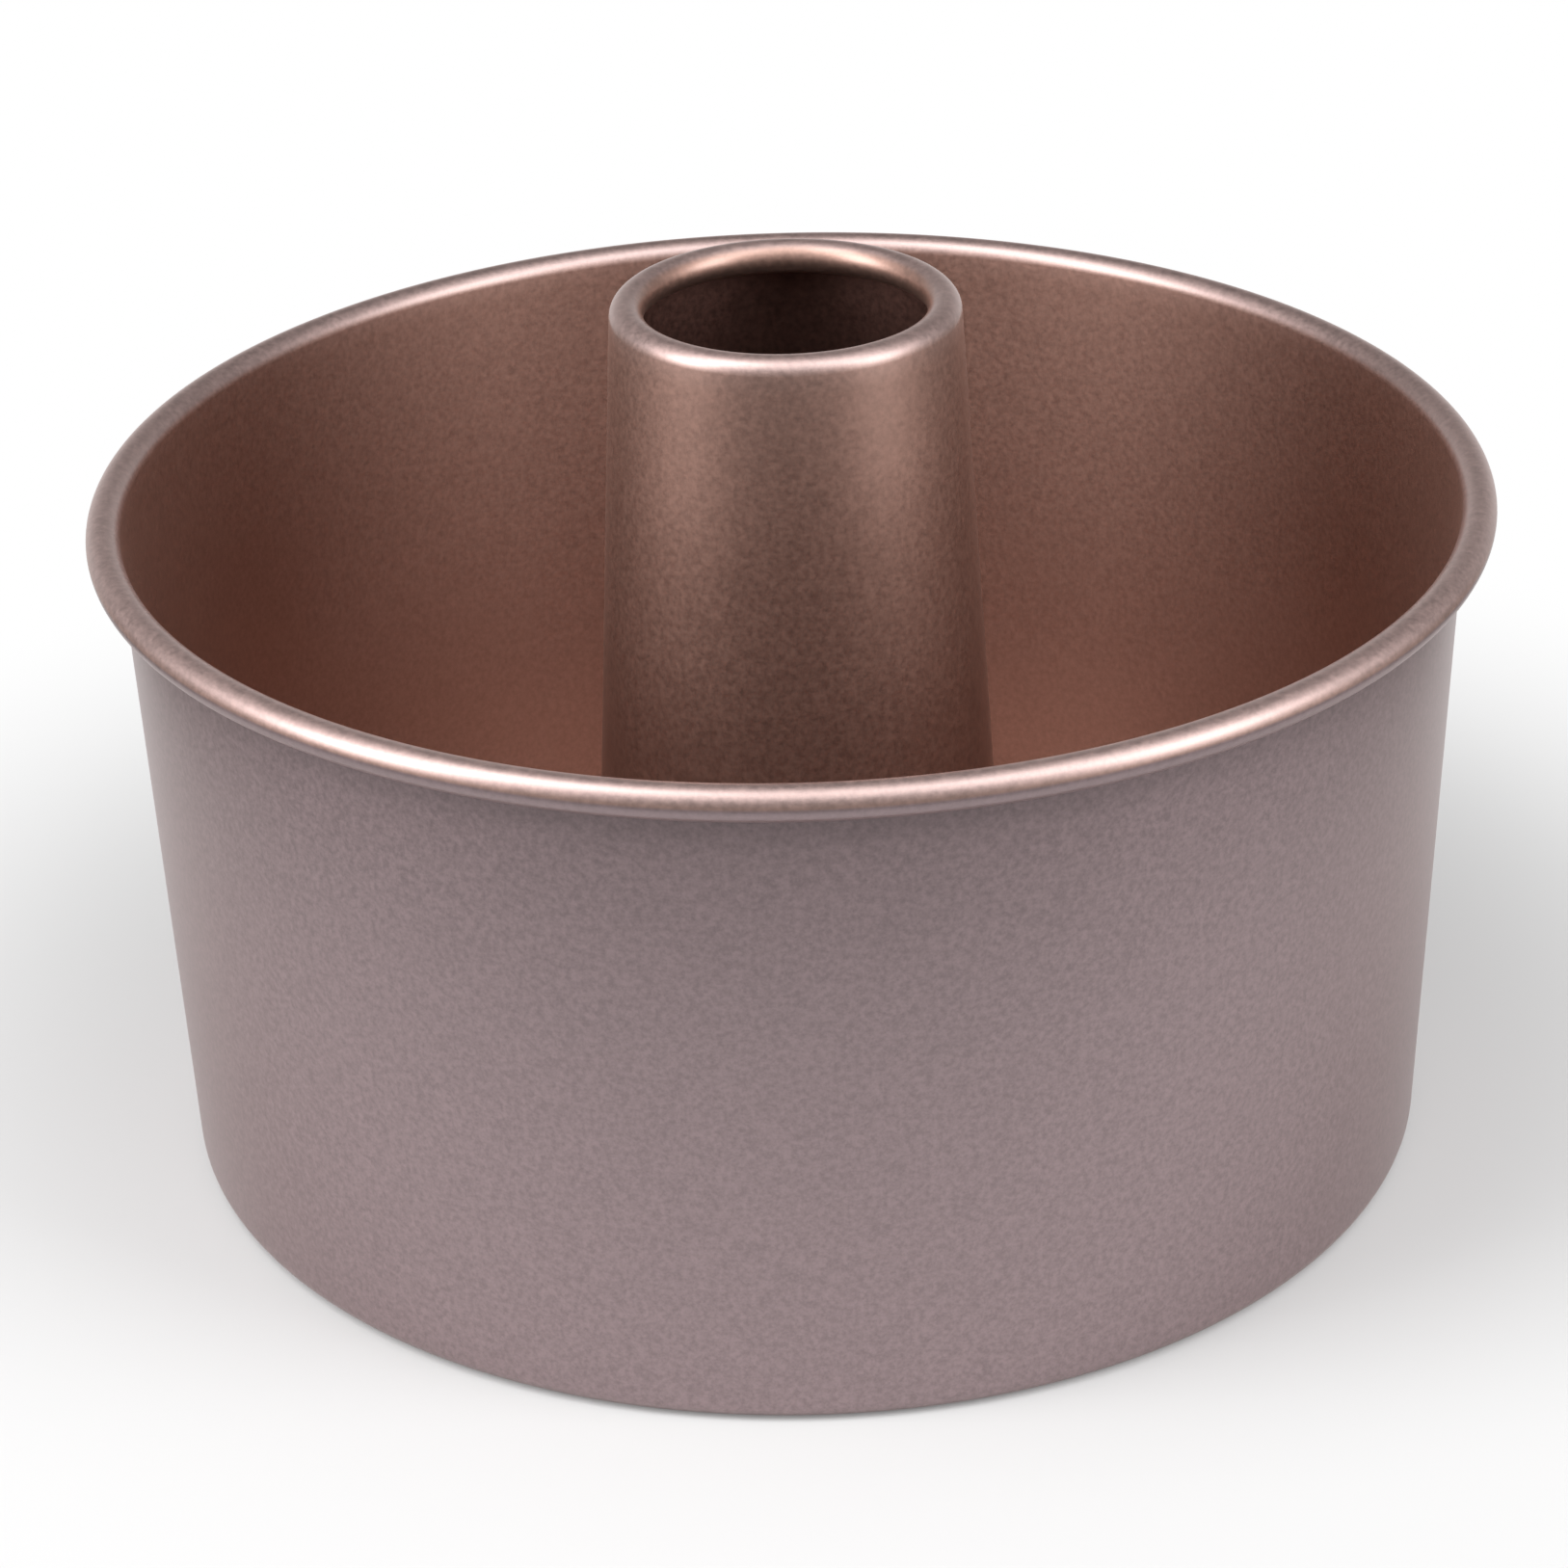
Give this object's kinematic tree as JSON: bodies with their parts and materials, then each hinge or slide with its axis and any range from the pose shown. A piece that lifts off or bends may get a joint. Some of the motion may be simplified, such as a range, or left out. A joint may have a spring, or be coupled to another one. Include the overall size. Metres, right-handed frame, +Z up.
{
  "type": "angel food cake pan",
  "caption": "Round tapered tube pan in coated sheet steel, with a rolled wired rim and a loose base plate and centre tube that lift out together.",
  "frame": {"origin": "centre of the ring that the pan stands on, at table level", "axes": "+Z up along the axis of the pan and its tube"},
  "size_m": [0.2126, 0.2126, 0.1346],
  "materials": {
    "nonstick_coating": "satin champagne metallic non-stick coating with a fine flake",
    "wire_steel": "drawn steel wire"
  },
  "bodies": {
    "pan": {"pan_wall": "nonstick_coating", "rim_wire": "wire_steel"},
    "insert": {"base_plate": "nonstick_coating", "centre_tube": "nonstick_coating"}
  },
  "joints": [
    {"name": "insert_lift", "type": "slide", "parent": "pan", "child": "insert", "axis": [0, 0, 1], "range_m": [0, 0.12]}
  ]
}
